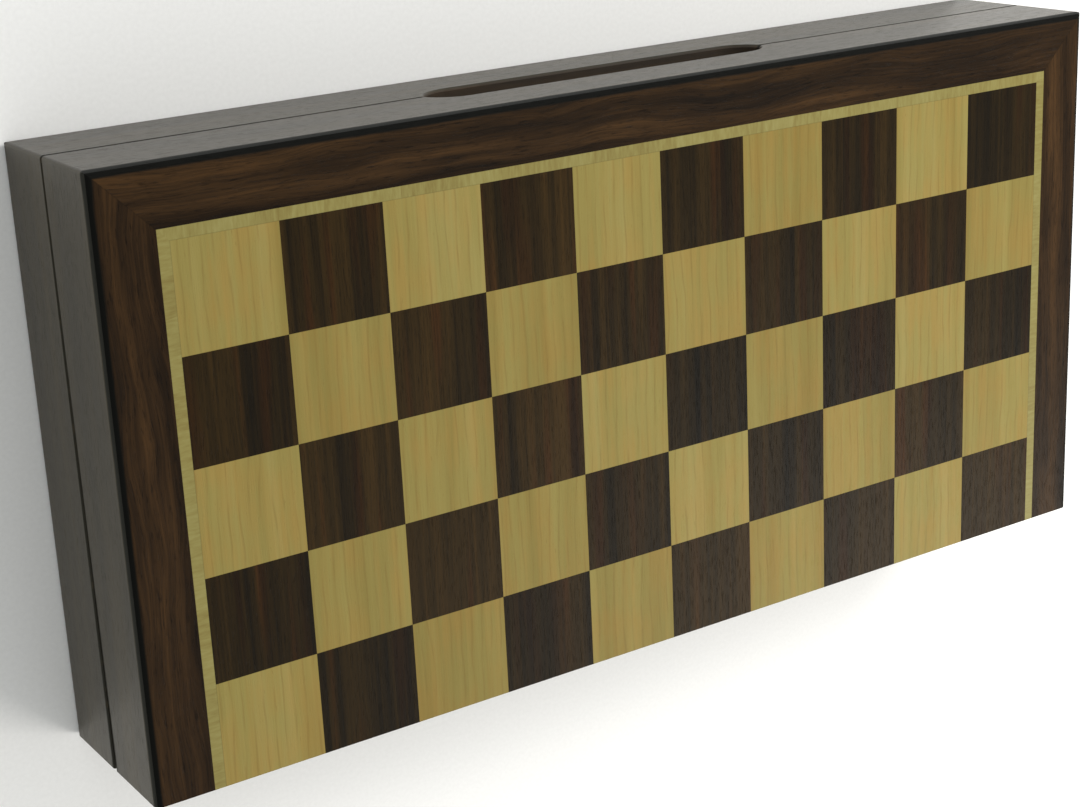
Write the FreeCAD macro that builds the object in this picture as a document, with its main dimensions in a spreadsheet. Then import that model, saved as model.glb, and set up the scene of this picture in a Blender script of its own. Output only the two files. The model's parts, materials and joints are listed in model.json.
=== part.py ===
"""A folding games case whose two halves make a board of 100 squares, with 32 chessmen stored inside.

Millimetres, +Z up. The case is closed and lies flat on one playing face. The handle side faces -Y, the
hinge side +Y. The origin is under the middle of the closed case. "lower" pieces make the half on the
table, "upper" pieces the half that opens like a lid. Left is -X, as seen from the handle side.
"""
import FreeCAD, Part
import math
import os
import Sketcher
from FreeCAD import Placement, Rotation, Vector

doc = FreeCAD.newDocument("games_case")
sheet = doc.addObject("Spreadsheet::Sheet", "sizes")

DRIVING_SIZES = {
    # board and case
    "board_columns": 10,
    "board_rows": 5,
    "square": 32,
    "strip_width": 3.5,
    "border_width": 18,
    "veneer": 0.8,
    "case_thickness": 59.4,
    "rail_width": 12,
    "panel_thickness": 4.2,
    "edge_radius": 2.4,
    "corner_radius": 1,
    "rim_chamfer": 0.4,
    "seam_gap_at_handle": 0.3,
    "seam_gap_at_hinge": 1.6,
    # handle slot, half of it in each half of the case
    "slot_length": 126,
    "slot_depth": 7.5,
    "slot_end_radius": 12,
    "slot_softening": 0.8,
    # hinges
    "fold_gap": 0.4,
    "hinge_inset": 70,
    "leaf_length": 38,
    "leaf_width": 10,
    "leaf_thickness": 1,
    "leaf_gap": 0.2,
    "mortise_clearance": 0.15,
    "barrel_diameter": 3,
    "barrel_clearance": 0.4,
    "pin_diameter": 1.5,
    "pin_clearance": 0.05,
    "knuckle_clearance": 0.15,
    "screw_diameter": 2,
    "screw_length": 8,
    "screw_head_diameter": 3.6,
    "screw_head_height": 0.8,
    "screw_spacing": 13,
    "driver_slot": 0.5,
    # magnets that keep the case shut
    "magnet_diameter": 8,
    "magnet_thickness": 3,
    "magnet_inset": 40,
    "magnet_clearance": 0.05,
    "magnet_cover": 0.1,
    # lining and storage
    "felt_thickness": 1,
    "lining_clearance": 0.3,
    "insert_floor": 1,
    "pocket_clearance": 0.35,
    "pocket_sink": 0.4,
    "pocket_wall": 2.5,
    "finger_room": 3,
    "finger_reach": 45,
    # chessmen
    "king_height": 60,
    "king_base": 25,
    "queen_height": 55,
    "queen_base": 24,
    "bishop_height": 49,
    "bishop_base": 23,
    "knight_height": 46,
    "knight_base": 23,
    "knight_thickness": 10,
    "rook_height": 40,
    "rook_base": 23,
    "pawn_height": 35,
    "pawn_base": 20,
}
for row, (alias, value) in enumerate(DRIVING_SIZES.items(), start=1):
    sheet.set(f"A{row}", alias.replace("_", " "))
    sheet.set(f"B{row}", str(value))
    sheet.setAlias(f"B{row}", alias)
doc.recompute()

# Places and sizes that follow from the sheet, as expressions.
WIDTH = "(sizes.board_columns * sizes.square + 2 * (sizes.border_width + sizes.strip_width))"
DEPTH = "(sizes.board_rows * sizes.square + sizes.border_width + sizes.strip_width)"
HINGE_OVERHANG = "(sizes.fold_gap / 2 + sizes.barrel_diameter / 2)"
LEFT = f"(-{WIDTH} / 2)"
FRONT = f"(-({DEPTH} + {HINGE_OVERHANG}) / 2)"
BACK = f"(({DEPTH} - {HINGE_OVERHANG}) / 2)"
AXIS_Y = f"({BACK} + sizes.fold_gap / 2)"
SEAM = "(sizes.case_thickness / 2)"
FLOOR = "(sizes.veneer + sizes.panel_thickness)"
INNER_WIDTH = f"({WIDTH} - 2 * sizes.rail_width)"
INNER_DEPTH = f"({DEPTH} - 2 * sizes.rail_width)"
LINING_WIDTH = f"({INNER_WIDTH} - 2 * sizes.lining_clearance)"
LINING_DEPTH = f"({INNER_DEPTH} - 2 * sizes.lining_clearance)"
LINING_BACK = f"({BACK} - sizes.rail_width - sizes.lining_clearance)"
LINING_FRONT = f"({FRONT} + sizes.rail_width + sizes.lining_clearance)"
POCKET_DEPTH = "(sizes.king_base / 2 + sizes.pocket_clearance + sizes.pocket_sink)"
INSERT_THICKNESS = f"(sizes.insert_floor + {POCKET_DEPTH})"
MEN_AXIS_Z = f"({FLOOR} + {INSERT_THICKNESS} - sizes.pocket_sink)"

nodes = {}
ALONG_Y = Rotation(Vector(1, 0, 0), -90)
HEAD_TO_HANDLE = Rotation(Vector(1, 0, 0), 90)


def bind(piece, **properties):
    """Ties properties of a document object to expressions. A dot in a name is written as __."""
    for name, expression in properties.items():
        piece.setExpression(name.replace("__", "."), str(expression))


def place(piece, x="0", y="0", z="0", rotation=Rotation()):
    piece.Placement = Placement(Vector(), rotation)
    bind(piece, Placement__Base__x=x, Placement__Base__y=y, Placement__Base__z=z)
    return piece


def node(piece, label):
    """Names a finished sub-part. Its label is also its file's name."""
    piece.Label = label
    nodes[label] = piece
    return piece


def box(name, length, width, height, **place_values):
    piece = doc.addObject("Part::Box", name)
    bind(piece, Length=length, Width=width, Height=height)
    return place(piece, **place_values)


def cylinder(name, radius, height, **place_values):
    piece = doc.addObject("Part::Cylinder", name)
    bind(piece, Radius=radius, Height=height)
    return place(piece, **place_values)


def cone(name, radius_1, radius_2, height, **place_values):
    piece = doc.addObject("Part::Cone", name)
    bind(piece, Radius1=radius_1, Radius2=radius_2, Height=height)
    return place(piece, **place_values)


def sphere(name, radius, **place_values):
    piece = doc.addObject("Part::Sphere", name)
    bind(piece, Radius=radius)
    return place(piece, **place_values)


def cut(name, base, *tools):
    piece = doc.addObject("Part::Cut", name)
    piece.Base = base
    piece.Tool = tools[0] if len(tools) == 1 else fuse(name + "_tools", *tools)
    return piece


def common(name, base, tool):
    piece = doc.addObject("Part::Common", name)
    piece.Base, piece.Tool = base, tool
    return piece


def fuse(name, *shapes):
    piece = doc.addObject("Part::MultiFuse", name)
    piece.Shapes = list(shapes)
    return piece


def group(name, *pieces):
    """Several separate solids, or one more copy of a single one, as one object."""
    piece = doc.addObject("Part::Compound", name)
    piece.Links = list(pieces)
    return piece


def mirror_to_lid(name, source):
    """The same piece in the upper half, mirrored about the plane where the halves meet."""
    piece = doc.addObject("Part::Mirroring", name)
    piece.Source = source
    piece.Normal = Vector(0, 0, 1)
    bind(piece, Base__z=SEAM)
    return piece


def draw_outline(sketch, corners):
    """Draws a closed outline. A corner is (x, y) in expressions, or (x, y, bulge) where the edge to the
    next corner is an arc; bulge is the tangent of a quarter of its angle, positive to the right."""
    places = [Vector(*(sketch.evalExpression(c) for c in corner[:2]), 0) for corner in corners]
    for i, corner in enumerate(corners):
        begin, end = places[i], places[(i + 1) % len(corners)]
        bulge = corner[2] if len(corner) > 2 else 0
        if bulge:
            across = (end - begin).cross(Vector(0, 0, 1)) * 0.5
            sketch.addGeometry(Part.Arc(begin, (begin + end) * 0.5 + across * bulge, end))
        else:
            sketch.addGeometry(Part.LineSegment(begin, end))
    # An arc always runs anticlockwise in a sketch, so its first point may be the later corner.
    ends = []
    for i in range(len(corners)):
        first = sketch.getPoint(i, 1).distanceToPoint(places[i])
        last = sketch.getPoint(i, 2).distanceToPoint(places[i])
        ends.append((1, 2) if first < last else (2, 1))
    for i, corner in enumerate(corners):
        following = (i + 1) % len(corners)
        sketch.addConstraint(
            Sketcher.Constraint("Coincident", i, ends[i][1], following, ends[following][0])
        )
        for kind, on_axis, number, expression in (
            ("DistanceX", -2, places[i].x, corner[0]),
            ("DistanceY", -1, places[i].y, corner[1]),
        ):
            if expression == "0":
                sketch.addConstraint(Sketcher.Constraint("PointOnObject", i, ends[i][0], on_axis))
                continue
            limit = sketch.addConstraint(Sketcher.Constraint(kind, -1, 1, i, ends[i][0], number))
            sketch.setExpression(f"Constraints[{limit}]", expression)
        if len(corner) > 2:
            half_angle = 2 * math.atan(abs(corner[2]))
            following_corner = corners[following]
            chord = (
                f"sqrt(({following_corner[0]} - {corner[0]}) ^ 2 + ({following_corner[1]} - {corner[1]}) ^ 2)"
            )
            radius = (places[following] - places[i]).Length / 2 / math.sin(half_angle)
            limit = sketch.addConstraint(Sketcher.Constraint("Radius", i, radius))
            sketch.setExpression(f"Constraints[{limit}]", f"{chord} / {2 * math.sin(half_angle)}")


def body_with_outline(name, role, corners, **place_values):
    """A body and its outline, drawn on the origin plane that role names."""
    body = doc.addObject("PartDesign::Body", name)
    place(body, **place_values)
    plane = next(part for part in body.Origin.OriginFeatures if part.Role == role)
    sketch = body.newObject("Sketcher::SketchObject", name + "_outline")
    sketch.AttachmentSupport = (plane, [""])
    sketch.MapMode = "FlatFace"
    draw_outline(sketch, corners)
    return body, sketch


def pad(body, sketch, length, midplane=False):
    feature = body.newObject("PartDesign::Pad", body.Name + "_pad")
    feature.Profile = sketch
    feature.Midplane = midplane
    bind(feature, Length=length)
    return feature


def revolve(body, sketch):
    feature = body.newObject("PartDesign::Revolution", body.Name + "_turned")
    feature.Profile = sketch
    feature.ReferenceAxis = (sketch, ["V_Axis"])
    feature.Angle = 360
    return feature


def dress(body, kind, base, size_property, size, wanted):
    """Rounds or chamfers the edges of base for which wanted(edge) is true."""
    doc.recompute()
    names = [f"Edge{i}" for i, edge in enumerate(base.Shape.Edges, start=1) if wanted(edge)]
    feature = body.newObject("PartDesign::" + kind, f"{body.Name}_{kind.lower()}_{size}")
    feature.Base = (base, names)
    bind(feature, **{size_property: "sizes." + size})
    return feature


# ---- The case ----


def make_half_envelope():
    """The outer form of the lower half: everything of it is cut to this form. Its rim slopes, because the
    gap between the halves is a hairline at the handle and wider at the hinges. It is what a body with
    rounded face edges and a body with slightly rounded upright corners have in common."""
    rim_at_handle = f"({SEAM} - sizes.seam_gap_at_handle / 2)"
    rim_at_hinge = f"({SEAM} - sizes.seam_gap_at_hinge / 2)"
    corners = [("0", "0"), (DEPTH, "0"), (DEPTH, rim_at_hinge), ("0", rim_at_handle)]
    body, sketch = body_with_outline("half_envelope", "YZ_Plane", corners, x=LEFT, y=FRONT)
    whole = pad(body, sketch, WIDTH)
    depth = sheet.evalExpression(DEPTH.replace("sizes.", ""))
    low_rim = sheet.evalExpression(rim_at_hinge.replace("sizes.", ""))
    near = 0.01

    def at_handle_corner(edge):
        return edge.BoundBox.YMax < near and edge.BoundBox.XLength < near

    def on_face(edge):
        return edge.BoundBox.ZMax < near and edge.BoundBox.YMin < depth - near

    def on_rim(edge):
        return edge.BoundBox.ZMin > low_rim - near and edge.BoundBox.YMin < depth - near

    rounded = dress(body, "Fillet", whole, "Radius", "edge_radius", on_face)
    dress(body, "Chamfer", rounded, "Size", "rim_chamfer", on_rim)
    plan = [("0", "0"), (WIDTH, "0"), (WIDTH, DEPTH), ("0", DEPTH)]
    upright, plan_sketch = body_with_outline("half_plan", "XY_Plane", plan, x=LEFT, y=FRONT)
    block = pad(upright, plan_sketch, SEAM)
    dress(upright, "Fillet", block, "Radius", "corner_radius", at_handle_corner)
    return common("half_form", body, upright)


def mitred_sides(name, inset, width, z, height):
    """Three bars along the handle, left and right sides, mitred where they meet: inset from the outside
    of the case, and square at the hinge side."""
    inner = f"({inset} + {width})" if inset != "0" else width
    far, far_inner = f"({WIDTH} - {inset})" if inset != "0" else WIDTH, f"({WIDTH} - {inner})"
    outlines = {
        "handle": [(inset, inset), (far, inset), (far_inner, inner), (inner, inner)],
        "left": [(inset, inset), (inner, inner), (inner, DEPTH), (inset, DEPTH)],
        "right": [(far, inset), (far, DEPTH), (far_inner, DEPTH), (far_inner, inner)],
    }
    bars = {}
    for side, corners in outlines.items():
        body, sketch = body_with_outline(f"{name}_{side}", "XY_Plane", corners, x=LEFT, y=FRONT, z=z)
        pad(body, sketch, height)
        bars[side] = body
    return bars


def make_slot_cutter():
    """Half of the handle slot: a straight floor between two arcs that meet the rim at a point, with its
    outer edge softened."""
    rise = "(sizes.slot_end_radius - sizes.slot_depth)"
    end_x = f"(sizes.slot_length / 2 - sqrt(sizes.slot_end_radius ^ 2 - {rise} ^ 2))"
    above = "sizes.slot_depth"
    through = "(3 * sizes.rail_width)"
    outside = f"({FRONT} - sizes.rail_width)"
    soft = "sizes.slot_softening"
    tools = [
        box("slot_straight", f"2 * {end_x}", through, f"sizes.slot_depth + {above}",
            x=f"-{end_x}", y=outside, z=f"{SEAM} - sizes.slot_depth")
    ]
    wedge = doc.addObject("Part::Wedge", "slot_soft_edge")
    bind(wedge, Xmin=f"-{end_x}", Xmax=end_x, X2min=f"-{end_x}", X2max=end_x, Ymin="0", Ymax=f"2 * {soft}",
         Zmin=f"-sizes.slot_depth - 2 * {soft}", Zmax=above, Z2min="-sizes.slot_depth", Z2max=above)
    tools.append(place(wedge, y=f"{FRONT} - {soft}", z=SEAM))
    for side, sign in (("left", "-"), ("right", "")):
        centre = {"x": f"{sign}{end_x}", "z": f"{SEAM} + {rise}", "rotation": ALONG_Y}
        tools.append(cylinder(f"slot_end_{side}", "sizes.slot_end_radius", through, y=outside, **centre))
        tools.append(cone(f"slot_soft_end_{side}", f"sizes.slot_end_radius + 2 * {soft}",
                          "sizes.slot_end_radius", f"2 * {soft}", y=f"{FRONT} - {soft}", **centre))
    return fuse("slot_cutter", *tools)


def make_magnets():
    """Disc magnets let into the handle rail's rim, and the holes they sit in."""
    top = f"({SEAM} - sizes.seam_gap_at_handle / 2 - sizes.magnet_cover)"
    bottom = f"({top} - sizes.magnet_thickness)"
    discs, holes = [], []
    for side, x in (("left", f"{LEFT} + sizes.magnet_inset"), ("right", f"-{LEFT} - sizes.magnet_inset")):
        centre = {"x": x, "y": f"{FRONT} + sizes.rail_width / 2", "z": bottom}
        discs.append(cylinder(f"magnet_{side}", "sizes.magnet_diameter / 2", "sizes.magnet_thickness",
                              **centre))
        holes.append(cylinder(f"magnet_hole_{side}", "sizes.magnet_diameter / 2 + sizes.magnet_clearance",
                              "2 * sizes.magnet_thickness", **centre))
    return group("magnets", *discs), fuse("magnet_holes", *holes)


def make_squares():
    """Thin squares of the lower playing face. The two woods alternate, and the upper face has them the
    other way round, so that the open board is chequered across the fold."""
    woods = {"dark": [], "light": []}
    for row in range(int(DRIVING_SIZES["board_rows"])):
        for column in range(int(DRIVING_SIZES["board_columns"])):
            wood = "dark" if (row + column) % 2 else "light"
            woods[wood].append(
                box(f"{wood}_square_{row}_{column}", "sizes.square", "sizes.square", "sizes.veneer",
                    x=f"({column} - sizes.board_columns / 2) * sizes.square",
                    y=f"{BACK} - (sizes.board_rows - {row}) * sizes.square")
            )
    return {wood: group(f"{wood}_squares", *squares) for wood, squares in woods.items()}


def make_halves(envelope, hinge_tools):
    rim_height = f"({SEAM} - sizes.veneer)"
    rails = mitred_sides("rail", "0", "sizes.rail_width", "sizes.veneer", rim_height)
    rails["hinge"] = box("rail_hinge", INNER_WIDTH, "sizes.rail_width", rim_height,
                         x=f"{LEFT} + sizes.rail_width", y=f"{BACK} - sizes.rail_width", z="sizes.veneer")
    magnets, magnet_holes = make_magnets()
    cutters = {"handle": [make_slot_cutter(), magnet_holes], "hinge": hinge_tools}
    lower = {}
    for side, blank in rails.items():
        rail = common(f"{side}_rail_form", envelope, blank)
        if side in cutters:
            rail = cut(f"{side}_rail_finished", rail, *cutters[side])
        lower[f"{side}_rail"] = rail
    lower["magnets"] = magnets
    lower["board_panel"] = box("panel", INNER_WIDTH, INNER_DEPTH, "sizes.panel_thickness",
                               x=f"{LEFT} + sizes.rail_width", y=f"{FRONT} + sizes.rail_width",
                               z="sizes.veneer")
    border = mitred_sides("border", "0", "sizes.border_width", "0", "sizes.veneer")
    trimmed = [common(f"border_{side}_form", envelope, bar) for side, bar in border.items()]
    lower["border_veneer"] = group("border", *trimmed)
    strips = mitred_sides("strip", "sizes.border_width", "sizes.strip_width", "0", "sizes.veneer")
    lower["inlay_strips"] = group("strips", *strips.values())
    squares = make_squares()
    lower["dark_squares"], lower["light_squares"] = squares["dark"], squares["light"]
    other_wood = {"dark_squares": "light_squares", "light_squares": "dark_squares"}
    for name, piece in lower.items():
        node(piece, "lower_" + name)
        source = lower[other_wood.get(name, name)]
        node(mirror_to_lid("lid_" + name, source), "upper_" + name)


# ---- The hinges ----

KNUCKLES = 5


def hinge_places():
    inset = f"({WIDTH} / 2 - sizes.hinge_inset)"
    return {"left": f"(-{inset})", "right": inset}


def make_leaf(half, side, middle, own, others):
    """One hinge leaf. own and others are the numbers of the knuckles that it and its partner carry."""
    name = f"{half}_leaf_{side}"
    begin = f"({middle} - sizes.leaf_length / 2)"
    pitch = f"(sizes.leaf_length / {KNUCKLES})"
    face = {"lower": f"({SEAM} - sizes.leaf_gap / 2 - sizes.leaf_thickness)",
            "upper": f"({SEAM} + sizes.leaf_gap / 2)"}[half]
    plate = box(name + "_plate", "sizes.leaf_length", "sizes.leaf_width", "sizes.leaf_thickness",
                x=begin, y=f"{AXIS_Y} - sizes.leaf_width", z=face)
    along_x = Rotation(Vector(0, 1, 0), 90)

    def turned(label, radius, number, allowance):
        start = f"{begin} + {number} * {pitch} - {allowance}"
        return cylinder(f"{name}_{label}_{number}", radius, f"{pitch} + 2 * ({allowance})",
                        x=start, y=AXIS_Y, z=SEAM, rotation=along_x)

    gap = "sizes.knuckle_clearance / 2"
    knuckles = [turned("knuckle", "sizes.barrel_diameter / 2", number, f"-({gap})") for number in own]
    reliefs = [turned("relief", "sizes.barrel_diameter / 2 + sizes.knuckle_clearance", number, gap)
               for number in others]
    bore = cylinder(name + "_bore", "sizes.pin_diameter / 2 + sizes.pin_clearance",
                    "2 * sizes.leaf_length", x=f"{middle} - sizes.leaf_length", y=AXIS_Y, z=SEAM,
                    rotation=along_x)
    screw_holes = [
        cone(f"{name}_countersink_{number}", "sizes.screw_head_diameter / 2", "sizes.screw_diameter / 2",
             "sizes.screw_head_height", rotation=Rotation(Vector(1, 0, 0), 180), **place_of)
        for number, place_of in enumerate(screw_places(middle))
    ]
    holes = group(name + "_screw_holes", *screw_holes, *[
        cylinder(f"{name}_screw_hole_{number}", "sizes.screw_diameter / 2", "2 * sizes.screw_length",
                 x=place_of["x"], y=place_of["y"], z=f"{SEAM} - sizes.screw_length")
        for number, place_of in enumerate(screw_places(middle))
    ])
    if half == "upper":
        holes = mirror_to_lid(name + "_screw_holes_above", holes)
    return cut(name, fuse(name + "_solid", plate, *knuckles), bore, *reliefs, holes)


def screw_places(middle):
    """Where the three screws of a lower leaf have the middle of their heads' faces."""
    y = f"{AXIS_Y} - sizes.leaf_width / 2 - sizes.barrel_diameter / 4"
    z = f"{SEAM} - sizes.leaf_gap / 2"
    return [{"x": f"{middle} + ({number}) * sizes.screw_spacing", "y": y, "z": z} for number in (-1, 0, 1)]


def make_screw(name, x, y, z):
    """A countersunk wood screw, head up, with a straight driver slot."""
    point = "(sizes.screw_diameter)"
    shank_bottom = f"{z} - sizes.screw_length + {point}"
    head = cone(name + "_head", "sizes.screw_head_diameter / 2", "sizes.screw_diameter / 2",
                "sizes.screw_head_height", x=x, y=y, z=z, rotation=Rotation(Vector(1, 0, 0), 180))
    shank = cylinder(name + "_shank", "sizes.screw_diameter / 2",
                     f"sizes.screw_length - {point} - sizes.screw_head_height / 2", x=x, y=y, z=shank_bottom)
    tip = cone(name + "_tip", "sizes.screw_diameter / 20", "sizes.screw_diameter / 2", point,
               x=x, y=y, z=f"{z} - sizes.screw_length")
    slot = box(name + "_slot", "sizes.screw_head_diameter", "sizes.driver_slot", "2 * sizes.driver_slot",
               x=f"{x} - sizes.screw_head_diameter / 2", y=f"{y} - sizes.driver_slot / 2",
               z=f"{z} - sizes.driver_slot")
    return cut(name, fuse(name + "_solid", head, shank, tip), slot)


def make_hinges():
    """Leaves, pins and screws of both hinges. Returns the cutters that the hinge rail needs for them."""
    numbers = range(KNUCKLES)
    outer = [number for number in numbers if number % 2 == 0]
    inner = [number for number in numbers if number % 2]
    leaves = {"lower": [], "upper": []}
    pins, screws, room = [], [], []
    for side, middle in hinge_places().items():
        leaves["lower"].append(make_leaf("lower", side, middle, outer, inner))
        leaves["upper"].append(make_leaf("upper", side, middle, inner, outer))
        begin = f"{middle} - sizes.leaf_length / 2"
        along_x = Rotation(Vector(0, 1, 0), 90)
        pins.append(cylinder(f"pin_{side}", "sizes.pin_diameter / 2", "sizes.leaf_length",
                             x=begin, y=AXIS_Y, z=SEAM, rotation=along_x))
        screws += [make_screw(f"screw_{side}_{number}", **place_of)
                   for number, place_of in enumerate(screw_places(middle))]
        clear = "sizes.mortise_clearance"
        room.append(box(f"mortise_{side}", f"sizes.leaf_length + 2 * {clear}", "2 * sizes.leaf_width",
                        "sizes.leaf_thickness + sizes.leaf_gap", x=f"{begin} - {clear}",
                        y=f"{AXIS_Y} - sizes.leaf_width - {clear}",
                        z=f"{SEAM} - sizes.leaf_gap / 2 - sizes.leaf_thickness"))
        room.append(cylinder(f"barrel_room_{side}", "sizes.barrel_diameter / 2 + sizes.barrel_clearance",
                             f"sizes.leaf_length + 2 * {clear}", x=f"{begin} - {clear}", y=AXIS_Y, z=SEAM,
                             rotation=along_x))
    node(group("lower_leaves", *leaves["lower"]), "lower_hinge_leaves")
    node(group("upper_leaves", *leaves["upper"]), "upper_hinge_leaves")
    node(group("pins", *pins), "hinge_pins")
    lower_screws = node(group("screws", *screws), "lower_hinge_screws")
    node(mirror_to_lid("screws_above", lower_screws), "upper_hinge_screws")
    # A tool with the driver slots filled, so that no wood is left in them.
    return [*room, *screws]


# ---- The chessmen, each standing on its own origin ----


def turned_man(kind, profile):
    """A turned body. profile is a list of (radius, height) in shares of the man's own base and height, or
    (radius, height, bulge) before an arc. It starts at the foot's rim and ends on the axis."""
    corners = [("0", "0")]
    for radius, height, *bulge in profile:
        across = f"({radius} * sizes.{kind}_base / 2)" if radius else "0"
        up = f"({height} * sizes.{kind}_height)" if height else "0"
        corners.append((across, up, *bulge))
    body, sketch = body_with_outline(f"{kind}_turning", "XZ_Plane", corners)
    revolve(body, sketch)
    return body


def foot(height_of_foot):
    """The plinth that all men share, as a profile: a flat disc, a cove and a bead."""
    return [
        (1, 0),
        (1, 0.45 * height_of_foot, -0.3),
        (0.86, 0.6 * height_of_foot, 0.25),
        (0.72, height_of_foot),
    ]


def make_pawn():
    stem = foot(0.24) + [(0.66, 0.26, 0.14), (0.34, 0.6), (0.58, 0.63), (0.58, 0.67), (0.3, 0.7), (0, 0.7)]
    head_radius = "(0.165 * sizes.pawn_height)"
    head = sphere("pawn_head", head_radius, z=f"sizes.pawn_height - {head_radius}")
    return fuse("pawn", turned_man("pawn", stem), head)


def make_rook():
    stem = foot(0.22) + [
        (0.7, 0.25, 0.1), (0.5, 0.66), (0.7, 0.7), (0.7, 0.74), (0.6, 0.77), (0.72, 0.83), (0.72, 1), (0, 1)
    ]
    well = cylinder("rook_well", "0.44 * sizes.rook_base / 2", "sizes.rook_height",
                    z="0.88 * sizes.rook_height")
    gaps = [
        box(f"rook_gap_{turn}", "2 * sizes.rook_base", "0.2 * sizes.rook_base / 2", "sizes.rook_height",
            x=f"-sizes.rook_base * cos({turn})", y=f"-sizes.rook_base * sin({turn})",
            z="0.91 * sizes.rook_height", rotation=Rotation(Vector(0, 0, 1), turn))
        for turn in (0, 60, 120)
    ]
    return cut("rook", turned_man("rook", stem), well, *gaps)


def make_bishop():
    stem = foot(0.18) + [
        (0.66, 0.2, 0.12), (0.3, 0.6), (0.54, 0.62), (0.54, 0.65), (0.32, 0.67, -0.25), (0.44, 0.78, -0.2),
        (0.12, 0.94), (0, 0.94),
    ]
    bead_radius = "(0.045 * sizes.bishop_height)"
    bead = sphere("bishop_bead", bead_radius, z=f"sizes.bishop_height - {bead_radius}")
    cut_slope = -50
    mitre_cut = box("bishop_cut", "sizes.bishop_base", "sizes.bishop_base", "0.03 * sizes.bishop_height",
                    x="0.12 * sizes.bishop_base / 2", y="-sizes.bishop_base / 2",
                    z="0.8 * sizes.bishop_height", rotation=Rotation(Vector(0, 1, 0), cut_slope))
    return cut("bishop", fuse("bishop_solid", turned_man("bishop", stem), bead), mitre_cut)


def make_queen():
    stem = foot(0.17) + [
        (0.66, 0.19, 0.12), (0.3, 0.64), (0.56, 0.66), (0.56, 0.69), (0.34, 0.71, 0.1), (0.6, 0.91),
        (0.4, 0.93), (0, 0.945),
    ]
    bead_radius = "(0.05 * sizes.queen_height)"
    bead = sphere("queen_bead", bead_radius, z=f"sizes.queen_height - {bead_radius}")
    notches, notch_count, notch_tilt = [], 8, 60
    for number in range(notch_count):
        turn = 360 * number / notch_count
        notches.append(
            cylinder(f"queen_notch_{number}", "0.09 * sizes.queen_base", "sizes.queen_base",
                     z="0.945 * sizes.queen_height",
                     x=f"0.3 * sizes.queen_base * cos({turn})", y=f"0.3 * sizes.queen_base * sin({turn})",
                     rotation=Rotation(Vector(0, 0, 1), turn) * Rotation(Vector(0, 1, 0), notch_tilt))
        )
    crown = cut("queen_crown", turned_man("queen", stem), *notches)
    return fuse("queen", crown, bead)


def make_king():
    stem = foot(0.16) + [
        (0.68, 0.18, 0.12), (0.32, 0.6), (0.58, 0.62), (0.58, 0.65), (0.36, 0.67), (0.58, 0.83),
        (0.4, 0.86), (0.12, 0.88), (0, 0.88),
    ]
    thickness, span = "(0.1 * sizes.king_base)", "(0.26 * sizes.king_base)"
    post_bottom, arm_bottom = "(0.87 * sizes.king_height)", "(0.925 * sizes.king_height)"
    post = box("king_cross_post", thickness, thickness, f"sizes.king_height - {post_bottom}",
               x=f"-{thickness} / 2", y=f"-{thickness} / 2", z=post_bottom)
    arm = box("king_cross_arm", span, thickness, "0.035 * sizes.king_height",
              x=f"-{span} / 2", y=f"-{thickness} / 2", z=arm_bottom)
    return fuse("king", turned_man("king", stem), post, arm)


def make_knight():
    """A turned foot with a horse's head sawn from a board."""
    stem = foot(0.2) + [(0.7, 0.22), (0.7, 0.25), (0, 0.25)]
    neck_z, overlap = 0.24, 0.001
    head = [
        (-0.6, neck_z), (-0.66, 0.5, -0.25), (-0.3, 0.93), (-0.22, 1), (-0.1, 0.93), (0.1, 0.9, -0.1),
        (0.66, 0.68), (0.7, 0.6), (0.6, 0.54), (0.36, 0.56, 0.2), (0.12, 0.55, 0.2), (0.5, neck_z + 0.1),
        (0.56, neck_z),
    ]
    low = "sizes.knight_base / 2"
    corners = [(f"({low} * {1 + across})", f"({height - neck_z + overlap} * sizes.knight_height)", *bulge)
               for across, height, *bulge in reversed_outline(head)]
    body, sketch = body_with_outline("knight_head", "XZ_Plane", corners, x=f"-{low}",
                                     z=f"{neck_z - overlap} * sizes.knight_height")
    pad(body, sketch, "sizes.knight_thickness", midplane=True)
    return fuse("knight", turned_man("knight", stem), body)


def reversed_outline(corners):
    """The same outline drawn the other way round."""
    places = [corner[:2] for corner in corners]
    bulges = [corner[2] if len(corner) > 2 else 0 for corner in corners]
    count = len(corners)
    turned = []
    for i in range(count - 1, -1, -1):
        bulge = -bulges[(i - 1) % count]
        turned.append((*places[i], bulge) if bulge else places[i])
    return turned


# ---- Storage ----


def man_width(kind):
    return f"(sizes.{kind}_base + 2 * sizes.pocket_clearance)"


def row_length(kind):
    return f"(sizes.{kind}_height + 2 * sizes.pocket_clearance)"


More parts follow.
